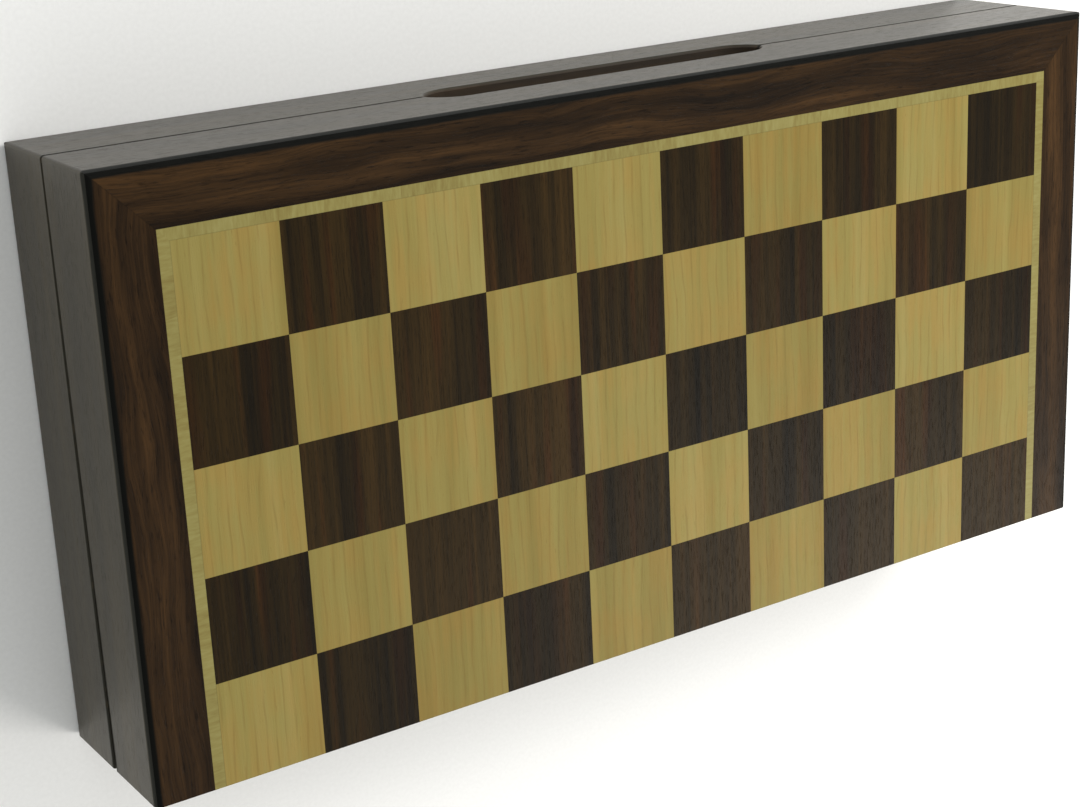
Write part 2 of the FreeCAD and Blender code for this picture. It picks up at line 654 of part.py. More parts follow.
def make_storage(masters):
    """The 32 men lie on their sides in the pockets of the insert, feet towards the hinges: the larger men
    and four pawns of a colour at each end, the other pawns in the middle, behind a space for fingers."""
    rows = [("king", "queen", "bishop", "bishop"), ("knight", "knight", "rook", "rook"), ("pawn",) * 4]
    lengths = " - ".join(row_length(row[0]) for row in rows)
    row_wall = f"(({LINING_DEPTH} - {lengths}) / {len(rows) + 1})"
    counts, pockets = {}, []

    def lay(colour, kind, x, pocket_back):
        counts[colour, kind] = counts.get((colour, kind), 0) + 1
        several = kind not in ("king", "queen")
        label = f"{colour}_{kind}" + (f"_{counts[colour, kind]}" if several else "")
        man = group("man_" + label, masters[kind])
        place(man, x=x, y=f"{pocket_back} - sizes.pocket_clearance", z=MEN_AXIS_Z, rotation=HEAD_TO_HANDLE)
        node(man, label)
        pockets.append(
            cylinder("pocket_" + label, f"sizes.{kind}_base / 2 + sizes.pocket_clearance", row_length(kind),
                     x=x, y=pocket_back, z=MEN_AXIS_Z, rotation=HEAD_TO_HANDLE)
        )

    for colour, sign in (("light", "-"), ("dark", "")):
        back = f"({LINING_BACK} - {row_wall})"
        for row in rows:
            edge = f"({LINING_WIDTH} / 2 - sizes.pocket_wall)"
            for kind in row:
                lay(colour, kind, f"{sign}({edge} - {man_width(kind)} / 2)", back)
                edge = f"({edge} - {man_width(kind)} - sizes.pocket_wall)"
            back = f"({back} - {row_length(row[0])} - {row_wall})"
        for middle_row in range(2):
            back = f"({LINING_BACK} - {row_wall} - {middle_row} * ({row_length('pawn')} + {row_wall}))"
            for column in range(2):
                x = f"{sign}({column} + 0.5) * ({man_width('pawn')} + sizes.pocket_wall)"
                lay(colour, "pawn", x, back)

    finger_width = "(sizes.slot_length + 2 * sizes.finger_room)"
    finger_pocket = box("finger_pocket", finger_width, "sizes.finger_reach + sizes.lining_clearance",
                        INSERT_THICKNESS, x=f"-{finger_width} / 2",
                        y=f"{LINING_FRONT} - sizes.lining_clearance", z=f"{FLOOR} + sizes.insert_floor")
    blank = box("insert_blank", LINING_WIDTH, LINING_DEPTH, INSERT_THICKNESS,
                x=f"-{LINING_WIDTH} / 2", y=LINING_FRONT, z=FLOOR)
    node(cut("insert", blank, *pockets, finger_pocket), "storage_insert")
    lining = box("lining", LINING_WIDTH, LINING_DEPTH, "sizes.felt_thickness", x=f"-{LINING_WIDTH} / 2",
                 y=LINING_FRONT, z=f"sizes.case_thickness - {FLOOR} - sizes.felt_thickness")
    node(lining, "lid_lining")


def check_document():
    """Stops if anything in the document failed, or a sub-part has no good shape."""
    failed = [o.Name for o in doc.Objects if "Invalid" in o.State or "Error" in o.State]
    bad = [label for label, piece in nodes.items() if piece.Shape.isNull() or not piece.Shape.isValid()]
    if failed or bad:
        raise RuntimeError(f"failed objects: {failed}, sub-parts with a bad shape: {bad}")


hinge_tools = make_hinges()
make_halves(make_half_envelope(), hinge_tools)
make_storage({
    "king": make_king(),
    "queen": make_queen(),
    "bishop": make_bishop(),
    "knight": make_knight(),
    "rook": make_rook(),
    "pawn": make_pawn(),
})
doc.recompute()
check_document()
os.makedirs("parts", exist_ok=True)
for label, piece in nodes.items():
    piece.Shape.exportStep(f"parts/{label}.step")
print(len(nodes), "sub-parts written")
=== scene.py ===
"""The looks of the folding games case. The CAD nodes of the case keep their shapes and get woods, brass
and nickel. Detailed chessmen, a flocked tray and a felt lining take the places of their plain CAD solids.
All lengths are metres in the CAD frame: the case lies closed, its handle side towards -Y."""
import json
import math
from types import SimpleNamespace

import bmesh
import bpy
import numpy as np
from mathutils import Matrix, Vector


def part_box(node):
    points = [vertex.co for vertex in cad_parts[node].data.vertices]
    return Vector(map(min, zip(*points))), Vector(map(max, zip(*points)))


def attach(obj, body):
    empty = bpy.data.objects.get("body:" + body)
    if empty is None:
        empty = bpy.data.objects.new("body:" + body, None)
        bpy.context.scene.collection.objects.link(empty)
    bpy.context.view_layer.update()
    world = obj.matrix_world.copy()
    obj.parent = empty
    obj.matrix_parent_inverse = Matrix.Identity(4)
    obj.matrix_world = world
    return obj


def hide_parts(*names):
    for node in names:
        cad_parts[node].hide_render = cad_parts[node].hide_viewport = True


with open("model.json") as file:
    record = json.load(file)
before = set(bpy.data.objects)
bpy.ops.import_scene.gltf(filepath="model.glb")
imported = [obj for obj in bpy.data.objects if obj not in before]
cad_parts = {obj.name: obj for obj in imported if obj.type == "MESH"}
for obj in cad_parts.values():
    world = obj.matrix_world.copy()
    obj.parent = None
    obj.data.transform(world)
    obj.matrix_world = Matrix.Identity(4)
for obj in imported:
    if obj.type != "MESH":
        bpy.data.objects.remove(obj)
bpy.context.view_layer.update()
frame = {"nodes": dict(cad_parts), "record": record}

MM = 0.001
COLOURS = ("light", "dark")
HALVES = ("lower", "upper")

# The case's own measures, read from the frame.
case_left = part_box("lower_left_rail")[0].x
case_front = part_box("lower_handle_rail")[0].y
case_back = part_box("lower_hinge_rail")[1].y
case_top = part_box("upper_border_veneer")[1].z
case_depth = case_back - case_front
strip_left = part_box("upper_inlay_strips")[0].x
squares_low, squares_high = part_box("upper_dark_squares")
SQUARES_ACROSS = 10
square = (squares_high.x - squares_low.x) / SQUARES_ACROSS


# ---- Camera, floor and light ----

CAMERA_PLACE = Vector((0.3694, -0.1940, 0.5598))
CAMERA_TARGET = Vector((0.0226, 0.0144, 0.0210))
CAMERA_UP = Vector((-0.2086, -0.9498, -0.2331))
CAMERA_LENS = 69.55


def make_camera():
    """The photo's view: the handle side is up in the picture, the playing face towards the camera."""
    data = bpy.data.cameras.new("camera")
    data.lens = CAMERA_LENS
    camera = bpy.data.objects.new("camera", data)
    bpy.context.collection.objects.link(camera)
    backward = (CAMERA_PLACE - CAMERA_TARGET).normalized()
    right = CAMERA_UP.cross(backward).normalized()
    upward = backward.cross(right)
    turned_frame = Matrix((right, upward, backward)).transposed().to_4x4()
    camera.matrix_world = Matrix.Translation(CAMERA_PLACE) @ turned_frame
    bpy.context.scene.camera = camera


def area_light(name, place, target, size, power, colour):
    data = bpy.data.lights.new(name, "AREA")
    data.size, data.energy, data.color = size, power, colour
    light = bpy.data.objects.new(name, data)
    bpy.context.collection.objects.link(light)
    light.location = place
    light.rotation_euler = (Vector(target) - Vector(place)).to_track_quat("-Z", "Y").to_euler()


def make_stage():
    """A plain pale floor, a pale world and two large soft lights."""
    bpy.ops.mesh.primitive_plane_add(size=12)
    floor = bpy.context.object
    floor.name = "floor"
    graph = Graph("floor_paper")
    speckle = graph.noise(graph.position_mm(), 0.8, detail=3)
    graph.colour(graph.ramp(speckle, [(0.3, (0.92, 0.90, 0.90)), (0.7, (0.96, 0.94, 0.94))]))
    graph.surface(roughness=0.85)
    floor.data.materials.append(graph.material)
    world = bpy.data.worlds.new("pale_room")
    world.use_nodes = True
    background = world.node_tree.nodes["Background"]
    background.inputs["Color"].default_value = (0.965, 1.0, 0.975, 1)
    background.inputs["Strength"].default_value = 0.68
    bpy.context.scene.world = world
    area_light("key", (-0.68, -0.72, 0.80), (0, -0.1, 0), 0.6, 9.8, (1.0, 1.0, 0.96))
    area_light("fill", (-0.62, 0.55, 0.60), (-0.05, 0, 0.03), 0.5, 5.2, (1.0, 0.98, 0.92))
    bpy.context.scene.view_settings.view_transform = "Standard"


# ---- Materials ----


class Graph:
    """A material and short calls that add its shader nodes and link them."""

    def __init__(self, name):
        self.material = bpy.data.materials.new(name)
        self.material.use_nodes = True
        self.tree = self.material.node_tree
        self.shader = self.tree.nodes["Principled BSDF"]

    def add(self, kind, inputs=(), **settings):
        """A node. inputs pairs a socket's name or number with a value or with another node's socket."""
        node = self.tree.nodes.new("ShaderNode" + kind)
        for name, value in settings.items():
            setattr(node, name, value)
        for key, value in inputs:
            if isinstance(value, bpy.types.NodeSocket):
                self.tree.links.new(value, node.inputs[key])
            else:
                node.inputs[key].default_value = value
        return node

    def math(self, operation, *values, clamp=False):
        """The result of a Math node. A value is a number or another node's socket."""
        node = self.add("Math", enumerate(values), operation=operation, use_clamp=clamp)
        return node.outputs[0]

    def scaled_sum(self, value, factor, added=0.0):
        """value * factor + added."""
        return self.math("MULTIPLY_ADD", value, factor, added)

    def position_mm(self):
        """Where a point is on its own object, in millimetres."""
        coordinates = self.add("TexCoord").outputs["Object"]
        return self.add("VectorMath", [(0, coordinates), ("Scale", 1000)], operation="SCALE").outputs[0]

    def split(self, vector):
        """The three numbers of a vector."""
        return self.add("SeparateXYZ", [(0, vector)]).outputs

    def join(self, x, y, z):
        return self.add("CombineXYZ", [(0, x), (1, y), (2, z)]).outputs[0]

    def scaled(self, across, across_scale, along, along_scale, depth=0.0):
        """A vector for noise that is stretched along the grain."""
        return self.join(self.scaled_sum(across, across_scale), self.scaled_sum(along, along_scale), depth)

    def noise(self, vector, scale, detail=2, roughness=0.5):
        inputs = [("Vector", vector), ("Scale", scale), ("Detail", detail), ("Roughness", roughness)]
        return self.add("TexNoise", inputs).outputs[0]

    def white(self, vector):
        """Three random numbers that depend on vector alone."""
        return self.add("TexWhiteNoise", [("Vector", vector)], noise_dimensions="3D").outputs["Color"]

    def ramp(self, value, stops):
        node = self.add("ValToRGB", [(0, value)])
        elements = node.color_ramp.elements
        while len(elements) < len(stops):
            elements.new(0.5)
        for element, (place, colour) in zip(elements, stops):
            element.position = place
            element.color = (*colour, 1)
        return node.outputs[0]

    def band(self, value, low, high, from_value=0.0, to_value=1.0):
        """Rises smoothly from from_value to to_value while value goes from low to high."""
        inputs = [("Value", value), ("From Min", low), ("From Max", high), ("To Min", from_value),
                  ("To Max", to_value)]
        return self.add("MapRange", inputs, interpolation_type="SMOOTHSTEP").outputs[0]

    def mix(self, factor, a, b, blend="MIX"):
        node = self.add("Mix", [(0, factor)], data_type="RGBA", blend_type=blend)
        for key, value in ((6, a), (7, b)):
            if isinstance(value, bpy.types.NodeSocket):
                self.tree.links.new(value, node.inputs[key])
            else:
                node.inputs[key].default_value = (*value, 1)
        return node.outputs[2]

    def tint(self, colour, factors):
        """The colour times a second colour."""
        return self.mix(1.0, colour, factors, blend="MULTIPLY")

    def darken(self, colour, factor):
        """The colour times a grey factor from another socket."""
        grey = self.add("CombineColor", [(0, factor), (1, factor), (2, factor)]).outputs[0]
        return self.tint(colour, grey)

    def colour(self, socket):
        self.tree.links.new(socket, self.shader.inputs["Base Color"])

    def bump(self, height, distance, strength):
        normal = self.add("Bump", [("Height", height), ("Distance", distance), ("Strength", strength)])
        self.tree.links.new(normal.outputs[0], self.shader.inputs["Normal"])

    def surface(self, roughness=None, **sockets):
        """Sets the shader's own sockets. A roughness that is a socket is linked."""
        if isinstance(roughness, bpy.types.NodeSocket):
            self.tree.links.new(roughness, self.shader.inputs["Roughness"])
        elif roughness is not None:
            self.shader.inputs["Roughness"].default_value = roughness
        for name, value in sockets.items():
            self.shader.inputs[name.replace("_", " ")].default_value = value


def grain(graph, across, depth, along, waviness=0.6):
    """Straight wood grain: broad bands, fine lines and short pores, each from 0 to 1."""
    drift = graph.noise(graph.join(graph.scaled_sum(across, 0.05), graph.scaled_sum(depth, 0.05),
                                   graph.scaled_sum(along, 0.02)), 1.0, detail=2)
    bent = graph.scaled_sum(drift, waviness * 10, across)

    def stretched(scale_across, scale_along, detail, roughness=0.55):
        vector = graph.join(graph.scaled_sum(bent, scale_across), graph.scaled_sum(depth, scale_across),
                            graph.scaled_sum(along, scale_along))
        return graph.noise(vector, 1.0, detail=detail, roughness=roughness)

    bands = stretched(0.16, 0.006, 4)
    lines = stretched(1.5, 0.022, 3, 0.65)
    pores = graph.band(stretched(5.5, 0.22, 1), 0.60, 0.70)
    return bands, lines, pores


def satin(graph, pores, lines, roughness=0.38, gloss=0.06, matt=None):
    """A thin satin finish over open grain. matt is 1 where the surface is dull."""
    rough = graph.scaled_sum(pores, 0.16, graph.scaled_sum(lines, 0.12, roughness - 0.06))
    if matt is not None:
        rough = graph.math("MULTIPLY_ADD", matt, 0.35, rough, clamp=True)
    graph.surface(roughness=rough, Specular_IOR_Level=gloss)
    relief = graph.math("ADD", graph.scaled_sum(pores, -1.0), graph.scaled_sum(lines, 0.25))
    graph.bump(relief, 0.00006, 0.7)


def case_fields(graph):
    """Where a point of the case is, in millimetres: its distances from the handle side, from the nearer of
    the handle side and the short sides, and from the mitre line between them, which is negative in the
    part at the handle side, and its distance from the rounded edges of the playing faces."""
    x, y, z = graph.split(graph.position_mm())
    from_short_side = graph.math("SUBTRACT", -case_left / MM, graph.math("ABSOLUTE", x))
    from_handle = graph.math("SUBTRACT", y, case_front / MM)
    inwards = graph.math("MINIMUM", from_short_side, from_handle)
    from_mitre = graph.math("SUBTRACT", from_handle, from_short_side)
    from_face = graph.math("MINIMUM", z, graph.math("SUBTRACT", case_top / MM, z))
    # The dark band at the edge is narrower along the short sides.
    narrowing = graph.band(from_mitre, 0.0, 9.0, 0.0, 0.3)
    from_edge = graph.math("ADD", graph.math("MAXIMUM", inwards, from_face), narrowing)
    return SimpleNamespace(x=x, y=y, z=z, from_handle=from_handle, inwards=inwards, from_mitre=from_mitre,
                           from_edge=from_edge)


def along_strip(graph, fields):
    """Millimetres along and across a strip of the mitred frames round a playing face, and 1 in the strip at
    the handle side or 0 in those at the short sides."""
    at_handle = graph.math("LESS_THAN", fields.from_mitre, 0.0)

    def pick(one, zero):
        return graph.scaled_sum(graph.math("SUBTRACT", one, zero), at_handle, zero)

    return pick(fields.x, fields.y), pick(fields.y, fields.x), at_handle


def black_edge(graph, colour, from_edge):
    """The colour with a near-black band round the rounded edges of the playing faces, and the band's
    strength."""
    waver = graph.noise(graph.position_mm(), 0.06, detail=2)
    band = graph.band(graph.scaled_sum(waver, 0.5, from_edge), 2.1, 2.9, 1.0, 0.0)
    return graph.mix(band, colour, (0.0040, 0.0040, 0.0034)), band


def walnut_border():
    """Walnut strips with wavy grain along them, darker at the banding, and a thin joint at each mitre."""
    graph = Graph("walnut_border")
    fields = case_fields(graph)
    along, across, _ = along_strip(graph, fields)
    bands, lines, pores = grain(graph, across, fields.z, along, waviness=1.0)
    figure = graph.scaled_sum(lines, 0.5, graph.scaled_sum(bands, 1.0, -0.22))
    mottle = graph.noise(graph.scaled(across, 0.22, along, 0.035, fields.z), 1.0, detail=3)
    figure = graph.math("ADD", figure, graph.scaled_sum(mottle, 0.40, -0.18))
    colour = graph.ramp(figure, [(0.28, (0.010, 0.0058, 0.0032)), (0.45, (0.021, 0.0108, 0.0045)),
                                 (0.60, (0.036, 0.0180, 0.0068)), (0.78, (0.060, 0.0290, 0.0102))])
    flecks = graph.noise(graph.scaled(across, 1.1, along, 0.13), 1.0, detail=3, roughness=0.6)
    colour = graph.darken(colour, graph.band(flecks, 0.56, 0.72, 1.0, 0.42))
    colour = graph.darken(colour, graph.scaled_sum(pores, -0.35, 1.0))
    border_width = (strip_left - case_left) / MM
    at_banding = graph.band(fields.inwards, border_width - 4.0, border_width - 1.5, 1.0, 0.66)
    colour = graph.darken(colour, at_banding)
    joint = graph.math("ABSOLUTE", fields.from_mitre)
    colour = graph.darken(colour, graph.band(joint, 0.05, 0.35, 0.78, 1.0))
    colour, edge = black_edge(graph, colour, fields.from_edge)
    graph.colour(colour)
    satin(graph, pores, lines, matt=edge)
    return graph.material


# How much further the painted shade at the seam reaches at the hinges than at the handle.
SEAM_GAPE = 1.2 * MM


def walnut_rail(name, along_x, lacquer):
    """Solid dark stained rail. The outer faces have a tinted lacquer. At the seam, which gapes towards the
    hinges, the outer faces get a painted shade that widens towards the hinges, and edges are rubbed lighter."""
    graph = Graph(name)
    fields = case_fields(graph)
    skin = graph.math("MINIMUM", fields.inwards, graph.math("SUBTRACT", case_back / MM, fields.y))
    along, across = (fields.x, fields.y) if along_x else (fields.y, fields.x)
    bands, lines, pores = grain(graph, graph.math("ADD", fields.z, graph.scaled_sum(across, 0.3)), across,
                                along)
    figure = graph.scaled_sum(lines, 0.3, graph.scaled_sum(bands, 0.8, -0.10))
    colour = graph.ramp(figure, [(0.3, (0.0180, 0.0125, 0.0050)), (0.5, (0.0310, 0.0215, 0.0080)),
                                 (0.75, (0.0540, 0.0370, 0.0140))])
    colour = graph.darken(colour, graph.scaled_sum(pores, -0.3, 1.0))
    raw = graph.ramp(figure, [(0.3, (0.020, 0.0115, 0.0055)), (0.5, (0.038, 0.0210, 0.0090)),
                              (0.75, (0.070, 0.0400, 0.0170))])
    bare = graph.band(skin, 0.2, 0.6)
    colour = graph.mix(bare, colour, raw)
    gape = graph.scaled_sum(fields.from_handle, SEAM_GAPE / case_depth)
    from_middle = graph.math("ABSOLUTE", graph.math("SUBTRACT", fields.z, case_top / MM / 2))
    from_seam = graph.math("SUBTRACT", from_middle, gape)
    # Painted shade of the seam gap: the outer faces darken next to the seam, wider towards the hinges.
    painted_seam_shade = graph.math("MULTIPLY", graph.band(from_seam, 0.45, 0.95, 1.0, 0.0),
                      graph.band(skin, 0.9, 2.2, 1.0, 0.0))
    colour = graph.darken(colour, graph.scaled_sum(painted_seam_shade, -0.75, 1.0))
    worn = graph.math("MULTIPLY", graph.band(from_seam, 0.3, 1.3, 1.0, 0.0),
                      graph.band(graph.noise(graph.position_mm(), 0.30, detail=3), 0.58, 0.70, 0.0, 0.35))
    colour = graph.mix(worn, colour, (0.055, 0.037, 0.018))
    colour, edge = black_edge(graph, colour, fields.from_edge)
    graph.colour(colour)
    dull = graph.math("MAXIMUM", bare, graph.math("MAXIMUM", edge, painted_seam_shade))
    satin(graph, pores, lines, roughness=0.32, gloss=0.33, matt=dull)
    graph.surface(Specular_Tint=(*lacquer, 1))
    return graph.material


def square_cells(graph):
    """Random numbers of the square that a point is in, and the point's distance from its edge in mm."""
    x, y, z = graph.split(graph.position_mm())
    size = square / MM
    column = graph.math("DIVIDE", graph.math("SUBTRACT", x, squares_low.x / MM), size)
    row = graph.math("DIVIDE", graph.math("SUBTRACT", y, squares_low.y / MM), size)
    half = graph.math("GREATER_THAN", z, case_top / MM / 2)
    cell = graph.join(graph.math("FLOOR", column), graph.math("FLOOR", row), half)
    chance = graph.split(graph.white(cell))

    def to_edge(place):
        part = graph.math("FRACT", place)
        return graph.math("MINIMUM", part, graph.math("SUBTRACT", 1.0, part))

    edge = graph.math("MULTIPLY", graph.math("MINIMUM", to_edge(column), to_edge(row)), size)
    # Every square's grain is taken from another place, up to this many millimetres away.
    across = graph.scaled_sum(chance[0], 700, x)
    along = graph.scaled_sum(chance[1], 900, y)
    return across, along, z, chance, edge


def dark_square():
    """Walnut with upright streaks from brown to nearly black. Some squares have an abrupt change of tone."""
    graph = Graph("walnut_squares")
    across, along, z, chance, edge = square_cells(graph)
    bands, lines, pores = grain(graph, across, z, along, waviness=0.25)

    def streaked(scale_across, scale_along, detail):
        vector = graph.join(graph.scaled_sum(across, scale_across), 0.0, graph.scaled_sum(along, scale_along))
        return graph.noise(vector, 1.0, detail=detail)

    streaks = streaked(0.36, 0.006, 2)
    board = graph.noise(graph.join(graph.scaled_sum(across, 0.045), 0.0, 0.0), 1.0, detail=0)
    step = graph.band(board, 0.545, 0.55, 0.05, -0.05)
    tone = graph.math("ADD", step, graph.scaled_sum(chance[2], 0.14, -0.07))
    figure = graph.scaled_sum(lines, 0.35, graph.scaled_sum(bands, 0.55, -0.22))
    figure = graph.math("ADD", tone, graph.scaled_sum(streaks, 0.55, figure))
    colour = graph.ramp(figure, [(0.26, (0.0060, 0.0043, 0.0024)), (0.42, (0.0115, 0.0071, 0.0026)),
                                 (0.58, (0.0215, 0.0124, 0.0036)), (0.78, (0.0400, 0.0212, 0.0056))])
    ruddy = graph.band(streaked(0.16, 0.01, 1), 0.5, 0.7, 0.0, 0.8)
    colour = graph.mix(ruddy, colour, graph.tint(colour, (1.35, 0.90, 0.80)))
    colour = graph.darken(colour, graph.scaled_sum(pores, -0.42, 1.0))
    colour = graph.darken(colour, graph.band(edge, 0.02, 0.25, 0.7, 1.0))
    graph.colour(colour)
    satin(graph, pores, lines)
    return graph.material


def maple_lines(graph, across, along):
    """Thin wavy growth lines along the grain of pale wood, 0 to 1, and small darker flecks."""
    line_step = 3.4
    waver = graph.noise(graph.scaled(across, 0.05, along, 0.022), 1.0, detail=2)
    phase = graph.scaled_sum(waver, 1.9, graph.scaled_sum(across, 1 / line_step))
    from_line = graph.math("ABSOLUTE", graph.math("SUBTRACT", graph.math("FRACT", phase), 0.5))
    line = graph.band(from_line, 0.0, 0.16, 1.0, 0.0)
    broken = graph.noise(graph.scaled(across, 0.35, along, 0.06), 1.0)
    line = graph.math("MULTIPLY", line, graph.band(broken, 0.35, 0.62, 0.15, 1.0))
    flecks = graph.noise(graph.scaled(across, 1.3, along, 0.33), 1.0)
    return line, graph.band(flecks, 0.66, 0.76)


def light_square():
    """Maple, from yellow-green to peach in soft upright stripes, with thin growth lines."""
    graph = Graph("maple_squares")
    across, along, z, chance, edge = square_cells(graph)
    bands, lines, pores = grain(graph, across, z, along, waviness=0.25)
    line, flecks = maple_lines(graph, across, along)
    tone = graph.scaled_sum(bands, 0.75, graph.scaled_sum(chance[2], 0.20, -0.02))
    colour = graph.ramp(tone, [(0.25, (0.210, 0.157, 0.041)), (0.5, (0.258, 0.200, 0.057)),
                               (0.8, (0.306, 0.247, 0.084))])
    stripes = graph.noise(graph.scaled(across, 0.30, along, 0.012), 1.0, detail=2)
    patches = graph.noise(graph.scaled(across, 0.05, along, 0.05, 3.0), 1.0)
    warmth = graph.scaled_sum(stripes, 0.6, graph.scaled_sum(patches, 0.5, -0.05))
    green = graph.tint(colour, (0.98, 1.01, 1.06))
    peach = graph.tint(colour, (1.10, 0.96, 0.94))
    colour = graph.mix(graph.band(warmth, 0.38, 0.66, 0.0, 0.85), green, peach)
    colour = graph.mix(graph.scaled_sum(line, 0.32), colour, (0.165, 0.100, 0.026))
    colour = graph.mix(graph.scaled_sum(flecks, 0.25), colour, (0.17, 0.105, 0.028))
    colour = graph.darken(colour, graph.scaled_sum(lines, 0.16, 0.92))
    colour = graph.darken(colour, graph.band(edge, 0.02, 0.22, 0.80, 1.0))
    graph.colour(colour)
    satin(graph, graph.scaled_sum(pores, 0.4), lines, roughness=0.40)
    return graph.material


def maple_banding():
    """Cross-banding: the grain runs across the narrow strip, in short leaves of slightly different tone."""
    graph = Graph("maple_banding")
    fields = case_fields(graph)
    along, across, at_handle = along_strip(graph, fields)
    leaf_length, leaf_spread = 11.0, 14.0
    uneven = graph.math("MULTIPLY", graph.noise(graph.position_mm(), 0.02), leaf_spread)
    leaf = graph.math("FLOOR", graph.math("DIVIDE", graph.math("ADD", along, uneven), leaf_length))
    chance = graph.split(graph.white(graph.join(leaf, at_handle, graph.math("GREATER_THAN", fields.x, 0.0))))
    blotch = graph.noise(graph.scaled(along, 0.9, across, 0.16, leaf), 1.0, detail=4, roughness=0.6)
    tone = graph.scaled_sum(blotch, 0.85, graph.scaled_sum(chance[0], 0.20, -0.04))
    colour = graph.ramp(tone, [(0.22, (0.185, 0.140, 0.038)), (0.5, (0.232, 0.194, 0.060)),
                               (0.8, (0.275, 0.242, 0.088))])
    ticks = graph.band(graph.noise(graph.scaled(along, 2.4, across, 0.5), 1.0), 0.68, 0.78)
    colour = graph.mix(graph.scaled_sum(ticks, 0.35), colour, (0.165, 0.105, 0.030))
    from_outer = graph.math("SUBTRACT", fields.inwards, (strip_left - case_left) / MM)
    strip_width = (squares_low.x - strip_left) / MM
    rim = graph.math("MINIMUM", from_outer, graph.math("SUBTRACT", strip_width, from_outer))
    colour = graph.darken(colour, graph.band(rim, 0.0, 0.25, 0.80, 1.0))
    graph.colour(colour)
    graph.surface(roughness=graph.scaled_sum(blotch, 0.12, 0.36), Specular_IOR_Level=0.14)
    graph.bump(blotch, 0.00004, 0.6)
    return graph.material


def plain_board():
    """The inner side of a board panel: pale plywood."""
    graph = Graph("plain_board")
    x, y, z = graph.split(graph.position_mm())
    bands, lines, pores = grain(graph, y, z, x)
    colour = graph.ramp(graph.scaled_sum(lines, 0.4, graph.scaled_sum(bands, 0.6)),
                        [(0.3, (0.30, 0.19, 0.10)), (0.75, (0.52, 0.38, 0.22))])
    graph.colour(graph.darken(colour, graph.scaled_sum(pores, -0.3, 1.0)))
    graph.surface(roughness=graph.scaled_sum(lines, 0.2, 0.5))
    graph.bump(lines, 0.0001, 0.5)
    return graph.material


def metal(name, colour, stain, roughness):
    """Rolled and lightly handled metal, duller where it is stained."""
    graph = Graph(name)
    place = graph.position_mm()
    stretched = graph.add("Mapping", [(0, place), ("Scale", (0.25, 9.0, 9.0))]).outputs[0]
    brushed = graph.noise(stretched, 1.0, detail=3)
    cloudy = graph.noise(place, 0.35, detail=4, roughness=0.65)
    graph.colour(graph.mix(graph.band(cloudy, 0.45, 0.75, 0.0, 0.7), colour, stain))
    rough = graph.scaled_sum(brushed, 0.16, graph.scaled_sum(cloudy, 0.22, roughness - 0.16))
    graph.surface(roughness=rough, Metallic=1.0)
    graph.bump(brushed, 0.00002, 0.5)
    return graph.material


def pile(name, deep, high, sheen):
    """Flock or felt: short fibres, a soft sheen and slight patches where the pile lies the other way."""
    graph = Graph(name)
    place = graph.position_mm()
    fibres = graph.noise(place, 3.2, detail=4, roughness=0.8)
    patches = graph.noise(place, 0.035, detail=3)
    tone = graph.scaled_sum(fibres, 0.75, graph.scaled_sum(patches, 0.4, -0.08))
    graph.colour(graph.ramp(tone, [(0.3, deep), (0.75, high)]))
    graph.surface(roughness=graph.scaled_sum(fibres, 0.1, 0.88), Sheen_Weight=sheen, Sheen_Roughness=0.4,
                  Sheen_Tint=(*high, 1), Specular_IOR_Level=0.2)
    graph.bump(fibres, 0.00035, 0.8)
    return graph.material


def turned_wood(name, stops, roughness):
    """Close-grained wood of a man, its grain along his own axis and different in each man."""
    graph = Graph(name)
    x, y, z = graph.split(graph.position_mm())
    chance = graph.math("MULTIPLY", graph.add("ObjectInfo").outputs["Random"], 400.0)
    bands, lines, pores = grain(graph, graph.math("ADD", x, chance), graph.math("ADD", y, chance), z)
    figure = graph.scaled_sum(lines, 0.3, graph.scaled_sum(bands, 0.8, -0.05))
    colour = graph.darken(graph.ramp(figure, stops), graph.scaled_sum(pores, -0.22, 1.0))
    graph.colour(colour)
    rough = graph.scaled_sum(lines, 0.12, graph.scaled_sum(pores, 0.1, roughness))
    graph.surface(roughness=rough, Coat_Weight=0.3, Coat_Roughness=0.15)
    graph.bump(graph.math("SUBTRACT", lines, pores), 0.00004, 0.6)
    return graph.material


def give(node, material):
    """Replaces all of a CAD node's materials with one."""
    slots = frame["nodes"][node].data.materials
    slots.clear()
    slots.append(material)


def dress_case():
    border, banding, board = walnut_border(), maple_banding(), plain_board()
    dark, light = dark_square(), light_square()
    rail_x = walnut_rail("walnut_rail_x", True, lacquer=(0.97, 1.0, 0.99))
    rail_y = walnut_rail("walnut_rail_y", False, lacquer=(1.0, 0.99, 0.82))
    brass = metal("satin_brass", (0.62, 0.44, 0.19), (0.34, 0.22, 0.09), 0.34)
    screw = metal("screw_brass", (0.66, 0.50, 0.24), (0.30, 0.20, 0.09), 0.30)
    nickel = metal("magnet_nickel", (0.62, 0.62, 0.60), (0.40, 0.40, 0.39), 0.26)
    woods = {"handle_rail": rail_x, "hinge_rail": rail_x, "left_rail": rail_y, "right_rail": rail_y,
             "board_panel": board, "border_veneer": border, "inlay_strips": banding, "dark_squares": dark,
             "light_squares": light, "magnets": nickel, "hinge_leaves": brass, "hinge_screws": screw}
    for half in HALVES:
        for part, material in woods.items():
            give(f"{half}_{part}", material)
    give("hinge_pins", brass)


# ---- Meshes ----


def new_object(name, mesh, *materials, smooth_angle=35):
    for material in materials:
        mesh.materials.append(material)
    mesh.polygons.foreach_set("use_smooth", [True] * len(mesh.polygons))
    mesh.set_sharp_from_angle(angle=math.radians(smooth_angle))
    piece = bpy.data.objects.new(name, mesh)
    bpy.context.collection.objects.link(piece)
    return piece


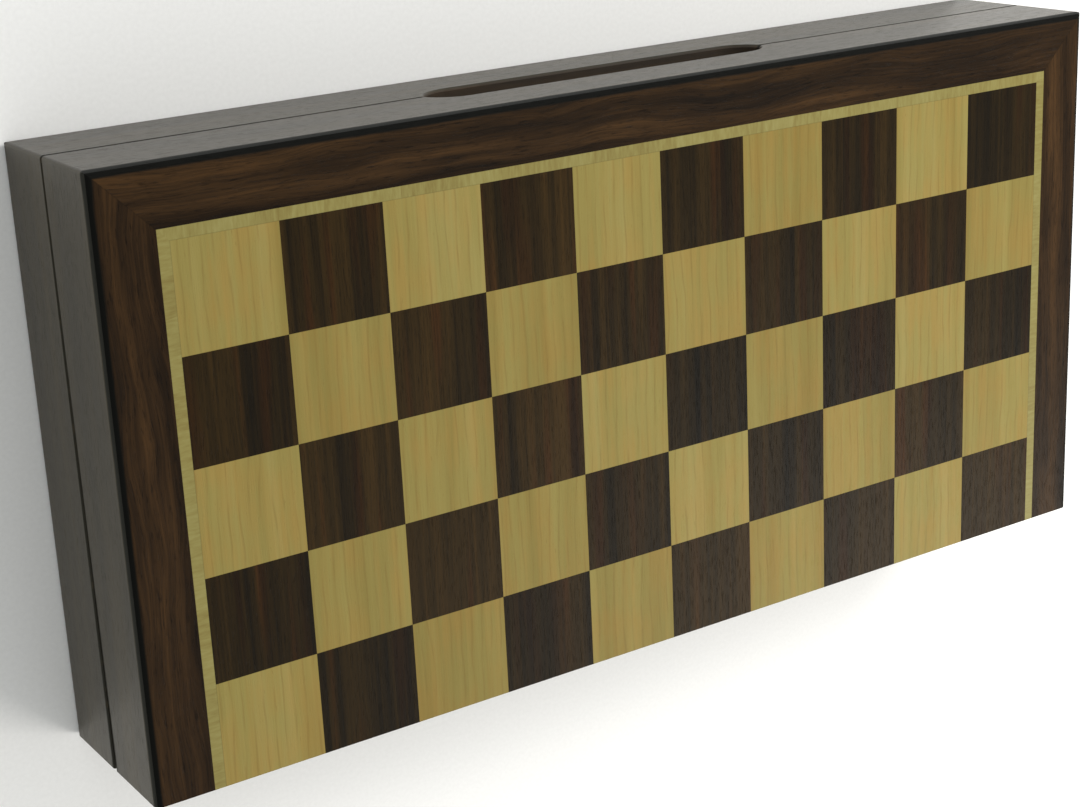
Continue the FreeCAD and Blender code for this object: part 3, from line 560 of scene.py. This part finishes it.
def mesh_from_grid(name, points, closed):
    """A mesh from rows of points, each row joined to the next. closed joins each row's ends."""
    rows, columns = len(points), len(points[0])
    mesh = bpy.data.meshes.new(name)
    faces = []
    for i in range(rows - 1):
        for j in range(columns if closed else columns - 1):
            following = (j + 1) % columns
            faces.append((i * columns + j, i * columns + following,
                          (i + 1) * columns + following, (i + 1) * columns + j))
    mesh.from_pydata([p for row in points for p in row], [], faces)
    return mesh


def finished(work, name):
    """The bmesh as a new mesh."""
    mesh = bpy.data.meshes.new(name)
    work.to_mesh(mesh)
    work.free()
    return mesh


def fuse_doubles(mesh, distance=1e-6):
    work = bmesh.new()
    work.from_mesh(mesh)
    bmesh.ops.remove_doubles(work, verts=work.verts, dist=distance)
    bmesh.ops.dissolve_degenerate(work, edges=work.edges, dist=distance)
    bmesh.ops.recalc_face_normals(work, faces=work.faces)
    work.to_mesh(mesh)
    work.free()


def turned(name, profile, turns=64):
    """A mesh of revolution about Z. The profile's points are (radius, height), from axis to axis."""
    angles = [2 * math.pi * k / turns for k in range(turns)]
    points = [[(r * math.cos(angle), r * math.sin(angle), z) for angle in angles] for r, z in profile]
    mesh = mesh_from_grid(name, points, closed=True)
    fuse_doubles(mesh)
    return mesh


def curve(begin, end, bulge, steps=8):
    """Points from begin to end on an arc, begin left out. bulge is the arc's height over half its chord,
    positive to the outside of a profile that runs upwards."""
    (r0, z0), (r1, z1) = begin, end
    half = math.hypot(r1 - r0, z1 - z0) / 2
    if not bulge:
        return [end]
    half_angle = 2 * math.atan(abs(bulge))
    radius = half / math.sin(half_angle)
    across = Vector((z1 - z0, r0 - r1)).normalized() * math.copysign(1, bulge)
    middle = Vector(((r0 + r1) / 2, (z0 + z1) / 2))
    centre = middle - across * radius * math.cos(half_angle)
    start = Vector(begin) - centre
    whole_angle = 2 * half_angle * math.copysign(1, bulge)
    points = []
    for k in range(1, steps + 1):
        turned_by = whole_angle * k / steps
        cosine, sine = math.cos(turned_by), math.sin(turned_by)
        points.append((centre.x + start.x * cosine - start.y * sine,
                       centre.y + start.x * sine + start.y * cosine))
    points[-1] = end
    return points


def outline(corners):
    """Expands (radius, height) or (radius, height, bulge before it) corners to points."""
    points = [tuple(corners[0][:2])]
    for corner in corners[1:]:
        bulge = corner[2] if len(corner) > 2 else 0
        points += curve(points[-1], tuple(corner[:2]), bulge)
    return points


def scaled_corners(shares, radius, height):
    return [(r * radius, z * height, *bulge) for r, z, *bulge in shares]


def foot(radius):
    """The foot that all men share: a rounded plinth, a cove, a bead and a fillet under the stem. Its heights
    too are shares of the radius."""
    shares = [(0, 0), (0.90, 0), (1, 0.07, 0.4), (1, 0.26), (0.93, 0.36, 0.4), (0.86, 0.37),
              (0.72, 0.55, -0.35), (0.75, 0.57), (0.75, 0.68, 0.7), (0.66, 0.70)]
    return scaled_corners(shares, radius, radius)


def collar(radius, height, thickness):
    """A bead of that radius between two thin rings."""
    return [(radius * 0.72, height), (radius * 0.94, height + thickness * 0.12),
            (radius * 0.94, height + thickness * 0.30, 0.6), (radius, height + thickness * 0.36),
            (radius, height + thickness * 0.72, 0.8), (radius * 0.84, height + thickness * 0.78),
            (radius * 0.80, height + thickness, 0.5)]


# The turned men. Radii are shares of the foot's radius, heights are shares of the man's height.
# A stem is its radius, its height at the neck and its bulge, and the collar's radius and thickness there.
STEMS = {
    "pawn": (0.33, 0.60, -0.22, 0.60, 0.08),
    "rook": (0.50, 0.62, -0.16, 0.68, 0.08),
    "bishop": (0.30, 0.58, -0.17, 0.58, 0.07),
    "queen": (0.30, 0.62, -0.15, 0.60, 0.065),
    "king": (0.32, 0.59, -0.15, 0.62, 0.065),
}
# The corners above the collar: (radius, height) or (radius, height, bulge before it).
CROWNS = {
    "pawn": [],
    "rook": [(0.56, 0.73), (0.72, 0.82, -0.3), (0.76, 0.83), (0.76, 0.99), (0.73, 1, 0.3), (0.53, 1),
             (0.50, 0.99), (0.50, 0.89), (0.44, 0.87), (0, 0.865)],
    "bishop": [(0.34, 0.67), (0.47, 0.755, 0.28), (0.13, 0.915, 0.26), (0.10, 0.916)],
    "queen": [(0.40, 0.70), (0.37, 0.74, -0.2), (0.63, 0.895, -0.22), (0.60, 0.905), (0.50, 0.895),
              (0.16, 0.925, 0.3), (0.12, 0.91)],
    "king": [(0.42, 0.665), (0.38, 0.70, -0.2), (0.58, 0.825, -0.15), (0.60, 0.84), (0.56, 0.85),
             (0.16, 0.885, 0.28), (0.13, 0.895), (0, 0.897)],
}
# The ball on top: its radius, the angle below its middle at which it begins, and its steps.
PAWN_BALL = 0.165
PAWN_NECK_TOP = STEMS["pawn"][1] + STEMS["pawn"][4]
BALLS = {
    "pawn": (PAWN_BALL, math.asin((1 - PAWN_BALL - PAWN_NECK_TOP) / PAWN_BALL), 16),
    "bishop": (0.042, math.pi / 2.6, 12),
    "queen": (0.045, math.pi / 2.6, 12),
}


def man_profile(kind, height, radius):
    """The turned outline of a man, standing at the origin. A knight's is only his foot."""
    if kind == "knight":
        plinth = collar(0.70 * radius, 0.20 * height, 0.05 * height)
        return outline(foot(radius) + plinth + [(0, 0.25 * height)])
    stem_radius, neck, bulge, collar_radius, thickness = STEMS[kind]
    corners = foot(radius) + [(stem_radius * radius, neck * height, bulge)]
    corners += collar(collar_radius * radius, neck * height, thickness * height)
    corners += scaled_corners(CROWNS[kind], radius, height)
    points = outline(corners)
    if kind in BALLS:
        ball, begin, steps = BALLS[kind]
        for k in range(steps + 1):
            angle = -begin + (math.pi / 2 + begin) * k / steps
            points.append((max(0.0, ball * height * math.cos(angle)),
                           (1 - ball) * height + ball * height * math.sin(angle)))
    return points


def box_mesh(name, length, width, height, place):
    work = bmesh.new()
    bmesh.ops.create_cube(work, size=1, matrix=place @ Matrix.Diagonal((length, width, height, 1)))
    return finished(work, name)


def tube_mesh(name, radius, length, place, sides=24):
    work = bmesh.new()
    bmesh.ops.create_cone(work, cap_ends=True, segments=sides, radius1=radius, radius2=radius, depth=length,
                          matrix=place)
    return finished(work, name)


def joined(name, *meshes):
    work = bmesh.new()
    for mesh in meshes:
        work.from_mesh(mesh)
    return finished(work, name)


def modified(mesh, *modifiers):
    """The mesh after modifiers, each a kind with its settings."""
    piece = bpy.data.objects.new("work", mesh)
    bpy.context.collection.objects.link(piece)
    for kind, settings in modifiers:
        modifier = piece.modifiers.new(kind.lower(), kind)
        for name, value in settings.items():
            setattr(modifier, name, value)
    result = bpy.data.meshes.new_from_object(piece.evaluated_get(bpy.context.evaluated_depsgraph_get()))
    bpy.data.objects.remove(piece)
    return result


def rounded_edges(width, segments, least_angle):
    """A bevel of the edges that are sharper than least_angle, in degrees."""
    return ("BEVEL", {"width": width, "segments": segments, "limit_method": "ANGLE",
                      "angle_limit": math.radians(least_angle)})


def cut_away(mesh, tools):
    """The mesh with the tool meshes cut out of it and the edges rounded a little."""
    tool = bpy.data.objects.new("tool", joined("tool", *tools))
    bpy.context.collection.objects.link(tool)
    difference = {"operation": "DIFFERENCE", "object": tool, "solver": "EXACT", "use_self": True}
    result = modified(mesh, ("BOOLEAN", difference), rounded_edges(0.18 * MM, 2, 50))
    bpy.data.objects.remove(tool)
    return result


def turn(axis, degrees):
    return Matrix.Rotation(math.radians(degrees), 4, axis)


def make_rook(height, radius):
    """The rook's battlements have six gaps, cut by three bars across them."""
    body = turned("rook", man_profile("rook", height, radius))
    gaps = [box_mesh("gap", 2.4 * radius, 0.17 * radius, 0.2 * height,
                     turn("Z", 60 * k) @ Matrix.Translation((0, 0, 1.025 * height))) for k in range(3)]
    return cut_away(body, gaps)


def make_bishop(height, radius):
    """The bishop's mitre has a slanting slot."""
    body = turned("bishop", man_profile("bishop", height, radius))
    place = Matrix.Translation((0.42 * radius, 0, 0.845 * height)) @ turn("Y", -52)
    return cut_away(body, [box_mesh("slot", radius, radius, 0.022 * height, place)])


def make_queen(height, radius):
    """The queen's coronet has eight round notches."""
    body = turned("queen", man_profile("queen", height, radius))
    first = Matrix.Translation((0.68 * radius, 0, 0.922 * height)) @ turn("Y", 90)
    notches = [tube_mesh("notch", 0.16 * radius, 0.5 * radius, turn("Z", 45 * k) @ first) for k in range(8)]
    return cut_away(body, notches)


def make_king(height, radius):
    """The king's cross has arms that widen outwards."""
    body = turned("king", man_profile("king", height, radius))
    work = bmesh.new()
    low, high = 0.885 * height, height
    middle = (low + high) / 2 + 0.008 * height
    thin, wide, reach, thick = 0.055 * radius, 0.125 * radius, 0.24 * radius, 0.09 * radius
    half = [(wide, low), (thin, middle - thin), (reach, middle - wide), (reach, middle + wide),
            (thin, middle + thin), (wide, high)]
    ring = half + [(-x, z) for x, z in reversed(half)]
    faces = []
    for side in (-1, 1):
        faces.append([work.verts.new((x, side * thick, z)) for x, z in ring])
    work.faces.new(faces[0])
    work.faces.new(reversed(faces[1]))
    for k in range(len(ring)):
        following = (k + 1) % len(ring)
        work.faces.new((faces[0][k], faces[1][k], faces[1][following], faces[0][following]))
    bmesh.ops.recalc_face_normals(work, faces=work.faces)
    cross = modified(finished(work, "cross"), rounded_edges(0.25 * MM, 3, 40))
    return joined("king", body, cross)


def sweep(name, stations, sides=28):
    """A closed tube with elliptical sections across the XZ plane. A station is the two ends of a section in
    that plane, x0, z0, x1, z1, and its half thickness along Y."""
    rows = []
    for x0, z0, x1, z1, thick in stations:
        row = []
        for k in range(sides):
            angle = 2 * math.pi * k / sides
            share = (1 + math.cos(angle)) / 2
            row.append((x0 + (x1 - x0) * share, thick * math.sin(angle), z0 + (z1 - z0) * share))
        rows.append(row)
    mesh = mesh_from_grid(name, rows, closed=True)
    work = bmesh.new()
    work.from_mesh(mesh)
    work.verts.ensure_lookup_table()
    work.faces.new(work.verts[:sides])
    work.faces.new(work.verts[-sides:])
    bmesh.ops.recalc_face_normals(work, faces=work.faces)
    work.to_mesh(mesh)
    work.free()
    return mesh


def ball_mesh(name, radius, place, stretch=(1, 1, 1)):
    work = bmesh.new()
    bmesh.ops.create_uvsphere(work, u_segments=20, v_segments=14, radius=radius,
                              matrix=place @ Matrix.Diagonal((*stretch, 1)))
    return finished(work, name)


def in_shares(stations, radius, height):
    return [(x0 * radius, z0 * height, x1 * radius, z1 * height, thick * radius)
            for x0, z0, x1, z1, thick in stations]


def make_mane(radius, height):
    """A crest of locks along the back of a knight's neck, on a curve through three chosen points."""
    begin, pull, end = Vector((-0.60, 0.32)), Vector((-0.76, 0.70)), Vector((-0.20, 0.925))
    locks, steps = 8, 96
    stations = []
    for k in range(steps + 1):
        share = k / steps
        point = begin * (1 - share) ** 2 + pull * 2 * share * (1 - share) + end * share ** 2
        along = (pull - begin) * (1 - share) + (end - pull) * share
        across = Vector((-along.y * height, along.x * radius)).normalized()
        place = Vector((point.x * radius, point.y * height))
        lock = abs(math.sin(math.pi * locks * share)) ** 0.6
        wide, thick = (0.085 + 0.055 * lock) * radius, (0.12 + 0.07 * lock) * radius
        inner, outer = place - across * wide, place + across * wide
        stations.append((inner.x, inner.y, outer.x, outer.y, thick))
    return sweep("mane", stations)


def make_knight(height, radius):
    """A horse's head on a turned foot: neck, head and mane as swept forms, with ears, cheeks and brows,
    melted together, then nostrils, mouth and eye sockets sunk into it."""
    neck = [(-0.62, 0.22, 0.58, 0.22, 0.50), (-0.64, 0.30, 0.50, 0.29, 0.45), (-0.66, 0.40, 0.30, 0.38, 0.39),
            (-0.66, 0.50, 0.12, 0.47, 0.34), (-0.62, 0.60, 0.06, 0.54, 0.31), (-0.54, 0.70, 0.14, 0.60, 0.30),
            (-0.42, 0.80, 0.20, 0.70, 0.28), (-0.28, 0.88, 0.16, 0.80, 0.24)]
    head = [(-0.34, 0.84, -0.08, 0.66, 0.22), (-0.20, 0.90, -0.02, 0.60, 0.27),
            (0.00, 0.905, 0.08, 0.565, 0.29), (0.16, 0.87, 0.20, 0.56, 0.28), (0.32, 0.81, 0.32, 0.575, 0.25),
            (0.47, 0.755, 0.42, 0.58, 0.215), (0.62, 0.70, 0.53, 0.555, 0.20), (0.74, 0.65, 0.62, 0.53, 0.19),
            (0.80, 0.605, 0.70, 0.535, 0.13)]
    parts = [sweep("neck", in_shares(neck, radius, height)), sweep("head", in_shares(head, radius, height)),
             make_mane(radius, height)]

    def at(x, y, z):
        return Matrix.Translation((x * radius, y * radius, z * height))

    hollows, eyes = [], []
    for side in (-1, 1):
        brow = at(0.17, side * 0.235, 0.825) @ turn("Y", 30)
        ear = at(-0.06, side * 0.12, 0.935) @ turn("Y", -14)
        parts += [ball_mesh("cheek", 0.27 * radius, at(0.06, side * 0.13, 0.655), (1, 0.8, 1.15)),
                  ball_mesh("brow", 0.10 * radius, brow, (1.6, 0.7, 0.7)),
                  ball_mesh("ear", 0.085 * radius, ear, (1, 0.75, 2.4))]
        mouth = at(0.66, side * 0.19, 0.572) @ turn("Y", 34)
        socket = at(0.20, side * 0.29, 0.79) @ turn("Y", 30)
        hollows += [ball_mesh("nostril", 0.045 * radius, at(0.70, side * 0.185, 0.625), (1, 1, 1.5)),
                    box_mesh("mouth", 0.30 * radius, 0.14 * radius, 0.03 * radius, mouth),
                    ball_mesh("socket", 0.065 * radius, socket, (1.5, 0.9, 1))]
        eyes.append(ball_mesh("eye", 0.055 * radius, at(0.20, side * 0.265, 0.79), (1.2, 0.8, 1)))
    solid = modified(joined("knight", *parts),
                     ("REMESH", {"mode": "VOXEL", "voxel_size": 0.26 * MM, "use_smooth_shade": True}),
                     ("SMOOTH", {"factor": 0.5, "iterations": 4}))
    carved = cut_away(solid, hollows)
    return joined("knight", turned("plinth", man_profile("knight", height, radius)), carved, *eyes)


def make_men():
    """Every man is a detailed mesh that lies where his CAD solid lies, foot towards the hinges."""
    woods = {
        "light": turned_wood("boxwood", [(0.25, (0.36, 0.235, 0.092)), (0.5, (0.50, 0.350, 0.150)),
                                         (0.78, (0.60, 0.440, 0.215))], 0.30),
        "dark": turned_wood("stained_wood", [(0.25, (0.016, 0.008, 0.005)), (0.5, (0.036, 0.016, 0.009)),
                                             (0.78, (0.078, 0.034, 0.017))], 0.26),
    }
    felt = pile("foot_felt", (0.006, 0.030, 0.016), (0.020, 0.075, 0.040), sheen=0.6)
    makers = {"rook": make_rook, "bishop": make_bishop, "queen": make_queen, "king": make_king,
              "knight": make_knight,
              "pawn": lambda height, radius: turned("pawn", man_profile("pawn", height, radius))}
    meshes = {}
    for node in frame["nodes"]:
        colour, _, rest = node.partition("_")
        kind = rest.split("_")[0]
        if colour not in COLOURS or kind not in makers:
            continue
        low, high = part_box(node)
        radius, height = (high.x - low.x) / 2, high.y - low.y
        if kind not in meshes:
            meshes[kind] = makers[kind](height, radius)
        mesh = meshes[kind].copy()
        mesh.materials.clear()
        piece = new_object(node + "_turned", mesh, woods[colour], felt)
        for polygon in mesh.polygons:
            underside = polygon.normal.z < -0.95 and polygon.center.z < 0.1 * MM
            polygon.material_index = 1 if underside else 0
        foot_centre = ((low.x + high.x) / 2, high.y, (low.z + high.z) / 2)
        piece.matrix_world = Matrix.Translation(foot_centre) @ turn("X", 90)
        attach(piece, node)
        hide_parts(node)


# ---- Tray and lining ----


def surface_block(name, heights, low, high, upward):
    """A closed block over the box's plan whose upper (or lower) face has the given heights."""
    rows, columns = heights.shape
    xs, ys = np.linspace(low.x, high.x, columns), np.linspace(low.y, high.y, rows)
    plan_x, plan_y = np.meshgrid(xs, ys)
    flat = low.z if upward else high.z
    shaped = np.stack([plan_x, plan_y, heights], -1).reshape(-1, 3)
    work = bmesh.new()
    tops = [work.verts.new(p) for p in shaped]
    for i in range(rows - 1):
        for j in range(columns - 1):
            k = i * columns + j
            work.faces.new((tops[k], tops[k + 1], tops[k + columns + 1], tops[k + columns]))
    rim = ([(0, j) for j in range(columns)] + [(i, columns - 1) for i in range(1, rows)]
           + [(rows - 1, j) for j in range(columns - 2, -1, -1)] + [(i, 0) for i in range(rows - 2, 0, -1)])
    below = [work.verts.new((xs[j], ys[i], flat)) for i, j in rim]
    for k, (i, j) in enumerate(rim):
        following = (k + 1) % len(rim)
        next_i, next_j = rim[following]
        work.faces.new((tops[i * columns + j], below[k], below[following], tops[next_i * columns + next_j]))
    work.faces.new(below)
    bmesh.ops.recalc_face_normals(work, faces=work.faces)
    return finished(work, name)


def plan_grid(low, high, step):
    """The x and y of a grid over a box's plan."""
    columns, rows = int((high.x - low.x) / step), int((high.y - low.y) / step)
    return np.meshgrid(np.linspace(low.x, high.x, columns), np.linspace(low.y, high.y, rows))


def rise(distance, width):
    """0 below 0 and 1 above width, smooth between."""
    share = np.clip(distance / width, 0, 1)
    return share * share * (3 - 2 * share)


def make_tray(flock):
    """The flocked tray: a soft-edged trough for each man and a hollow for fingers behind the handle."""
    low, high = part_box("storage_insert")
    x, y = plan_grid(low, high, 1.0 * MM)
    height = np.full(x.shape, high.z)
    slack, shoulder = 0.6 * MM, 1.6 * MM
    outside_rim = 0.35 * shoulder

    def sink(bottom, inside):
        """Lowers the surface to bottom where inside, the distance from the hollow's rim, is positive. The
        rounded shoulder begins a little outside the rim."""
        nonlocal height
        lowered = bottom + (high.z - bottom) * (1 - rise(inside + outside_rim, shoulder))
        height = np.minimum(height, lowered)

    for node in frame["nodes"]:
        if node.partition("_")[0] not in COLOURS:
            continue
        man_low, man_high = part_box(node)
        radius = (man_high.x - man_low.x) / 2 + slack
        from_axis = np.abs(x - (man_low.x + man_high.x) / 2)
        axis_z = (man_low.z + man_high.z) / 2
        trough = axis_z - np.sqrt(np.maximum(radius ** 2 - from_axis ** 2, 0))
        ends = np.minimum(y - man_low.y, man_high.y - y) + slack
        sink(np.minimum(trough, high.z), np.minimum(radius - from_axis, ends))
    openings = frame["record"]["physics"]["openings"]
    finger_low, finger_high = next(o for o in openings if o["name"] == "finger_pocket")["box_m"]
    sideways = np.minimum(x - finger_low[0], finger_high[0] - x)
    sink(np.full(x.shape, finger_low[2]), np.minimum(sideways, finger_high[1] - y))
    ripple_depth, thinnest = 0.10 * MM, 0.4 * MM
    ripple = ripple_depth * np.sin(x * 310 + 1.7 * np.sin(y * 170)) * np.sin(y * 260)
    sunk = height < high.z - 0.5 * MM
    height = np.clip(height + ripple * sunk, low.z + thinnest, high.z)
    mesh = surface_block("tray", height, low, high, upward=True)
    tray = new_object("flocked_tray", mesh, flock, smooth_angle=60)
    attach(tray, "lower_half")
    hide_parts("storage_insert")


def make_lining(felt):
    """Felt glued inside the lid, with slight swells where the glue took unevenly and rounded edges."""
    low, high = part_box("lid_lining")
    x, y = plan_grid(low, high, 2.0 * MM)
    edge = np.minimum(np.minimum(x - low.x, high.x - x), np.minimum(y - low.y, high.y - y))
    swell = 0.5 + 0.25 * np.sin(x * 61 + 2 * np.sin(y * 37)) + 0.25 * np.sin(y * 83 + 1.5 * np.sin(x * 29))
    edge_share, least_swell = 0.55, 0.86
    rounding = edge_share + (1 - edge_share) * rise(edge, 3 * MM)
    thickness = (high.z - low.z) * rounding * (least_swell + (1 - least_swell) * swell)
    mesh = surface_block("lining", high.z - thickness, low, high, upward=False)
    lining = new_object("felt_lining", mesh, felt, smooth_angle=60)
    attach(lining, "upper_half")
    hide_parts("lid_lining")


make_camera()
make_stage()
dress_case()
make_men()
make_tray(pile("green_flock", (0.004, 0.022, 0.012), (0.016, 0.062, 0.034), sheen=0.45))
make_lining(pile("green_felt", (0.006, 0.030, 0.016), (0.022, 0.080, 0.045), sheen=0.6))
